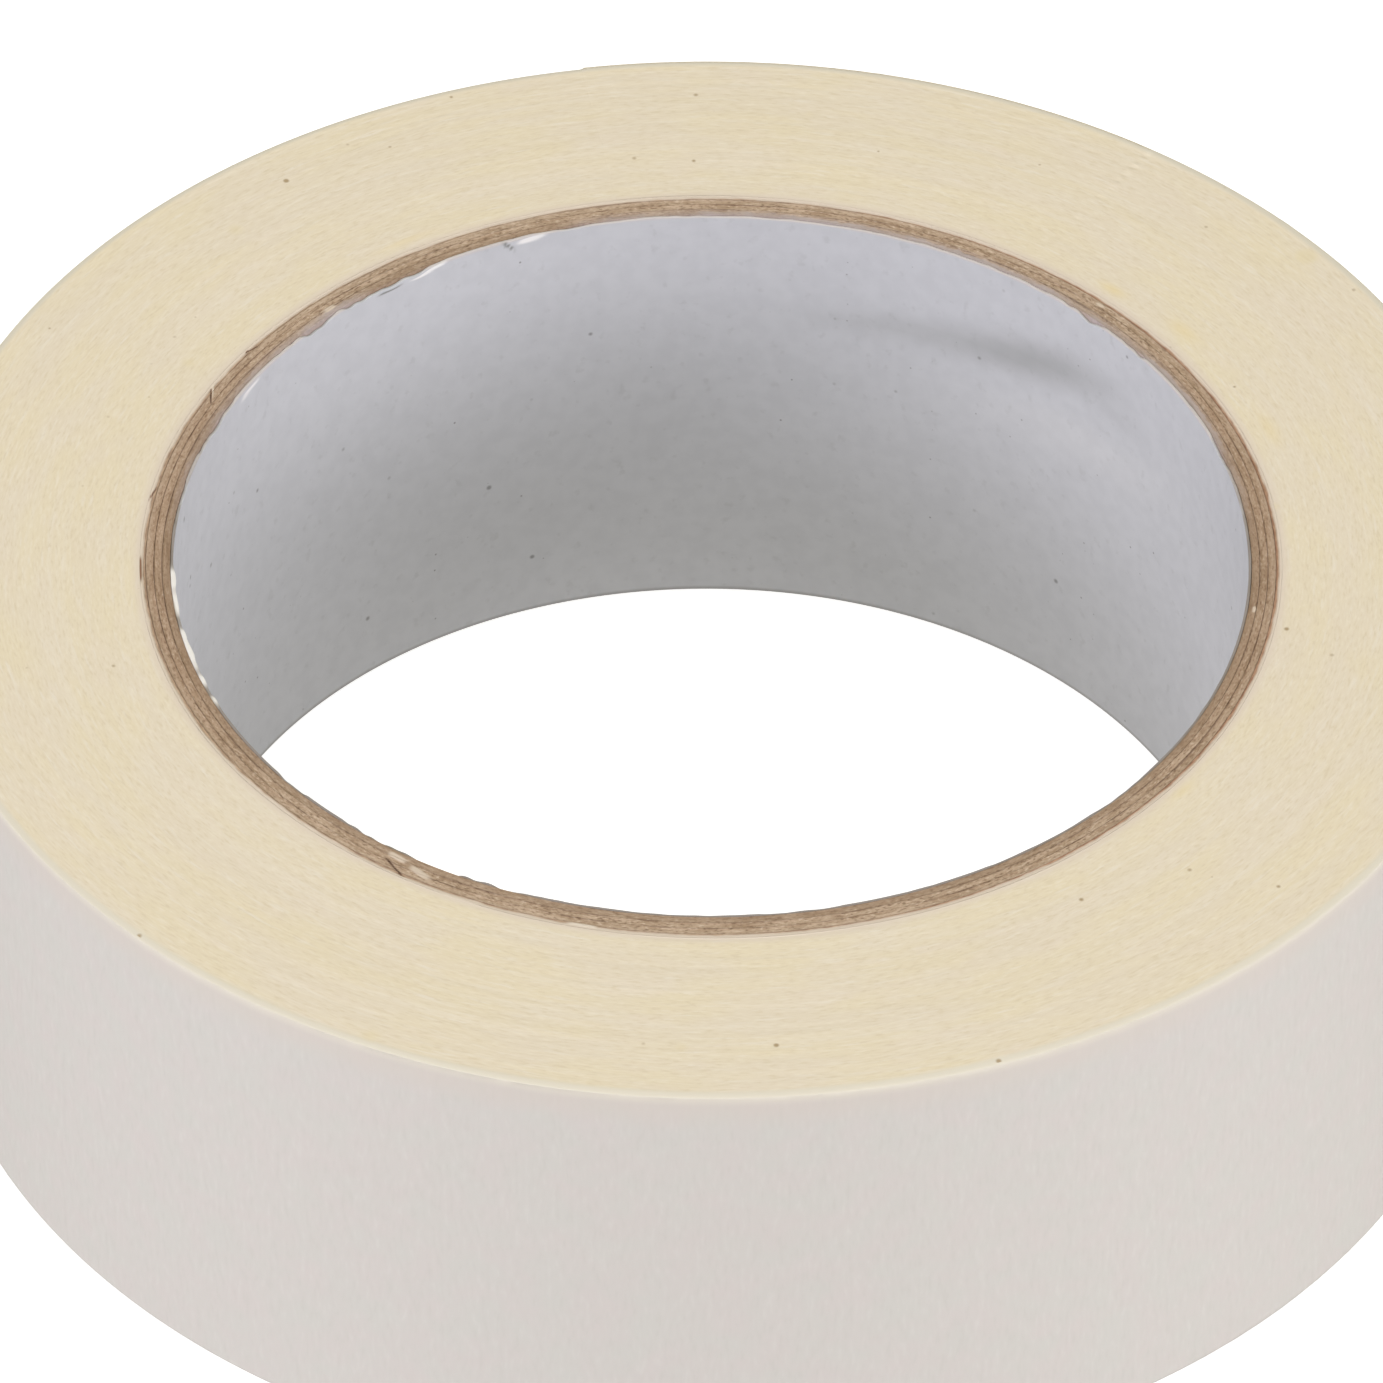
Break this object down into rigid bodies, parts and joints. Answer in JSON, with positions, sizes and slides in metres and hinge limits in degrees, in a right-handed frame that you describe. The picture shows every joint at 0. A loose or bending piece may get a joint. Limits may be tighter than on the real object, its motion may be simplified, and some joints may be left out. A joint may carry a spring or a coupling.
{
  "type": "masking tape roll",
  "caption": "Roll of cream crepe paper masking tape, 36 mm wide, wound on a paper core with a 76 mm bore; its free end peels away from the wall.",
  "frame": {"origin": "on the roll's axis, at the lower side face that the roll rests on", "axes": "+Z along the roll's axis, up as the roll lies flat; the tape's cut end is at the back, 100 degrees from +X towards +Y"},
  "size_m": [0.1129, 0.1131, 0.036],
  "materials": {
    "liner_paper": "matt white paper",
    "kraft_board": "cut kraft board with loose fibres",
    "wrap_paper": "thin reddish-brown kraft paper",
    "pale_edge": "pale slit edge",
    "cut_edge": "matt slit edges of many turns of tape",
    "crepe_backing": "matt crepe paper, finely creased",
    "adhesive": "tacky, slightly glossy rubber adhesive"
  },
  "bodies": {
    "roll": {"core_liner": "liner_paper", "core_ply_inner": "kraft_board", "core_ply_middle": "kraft_board", "core_ply_outer": "kraft_board", "core_wrap": "wrap_paper", "first_turn": "pale_edge", "wound_turns": "cut_edge", "last_turn": "crepe_backing"},
    "free_end_1": {"end_backing_1": "crepe_backing", "end_adhesive_1": "adhesive"},
    "free_end_2": {"end_backing_2": "crepe_backing", "end_adhesive_2": "adhesive"},
    "free_end_3": {"end_backing_3": "crepe_backing", "end_adhesive_3": "adhesive"},
    "free_end_4": {"end_backing_4": "crepe_backing", "end_adhesive_4": "adhesive"},
    "free_end_5": {"end_backing_5": "crepe_backing", "end_adhesive_5": "adhesive"}
  },
  "joints": [
    {"name": "peel", "type": "hinge", "parent": "roll", "child": "free_end_1", "pos_m": [0.03243, 0.04636, 0.018], "axis": [0, 0, -1], "range_deg": [0, 135]},
    {"name": "bend_2", "type": "hinge", "parent": "free_end_1", "child": "free_end_2", "pos_m": [0.02478, 0.05086, 0.018], "axis": [0, 0, -1], "range_deg": [0, 9]},
    {"name": "bend_3", "type": "hinge", "parent": "free_end_2", "child": "free_end_3", "pos_m": [0.01653, 0.05411, 0.018], "axis": [0, 0, -1], "range_deg": [0, 9]},
    {"name": "bend_4", "type": "hinge", "parent": "free_end_3", "child": "free_end_4", "pos_m": [0.00786, 0.05604, 0.018], "axis": [0, 0, -1], "range_deg": [0, 9]},
    {"name": "bend_5", "type": "hinge", "parent": "free_end_4", "child": "free_end_5", "pos_m": [-0.00099, 0.05658, 0.018], "axis": [0, 0, -1], "range_deg": [0, 9]}
  ],
  "couplings": [
    {"joint": "bend_2", "follows": "peel", "ratio": 0.0666},
    {"joint": "bend_3", "follows": "peel", "ratio": 0.0666},
    {"joint": "bend_4", "follows": "peel", "ratio": 0.0666},
    {"joint": "bend_5", "follows": "peel", "ratio": 0.0666}
  ]
}
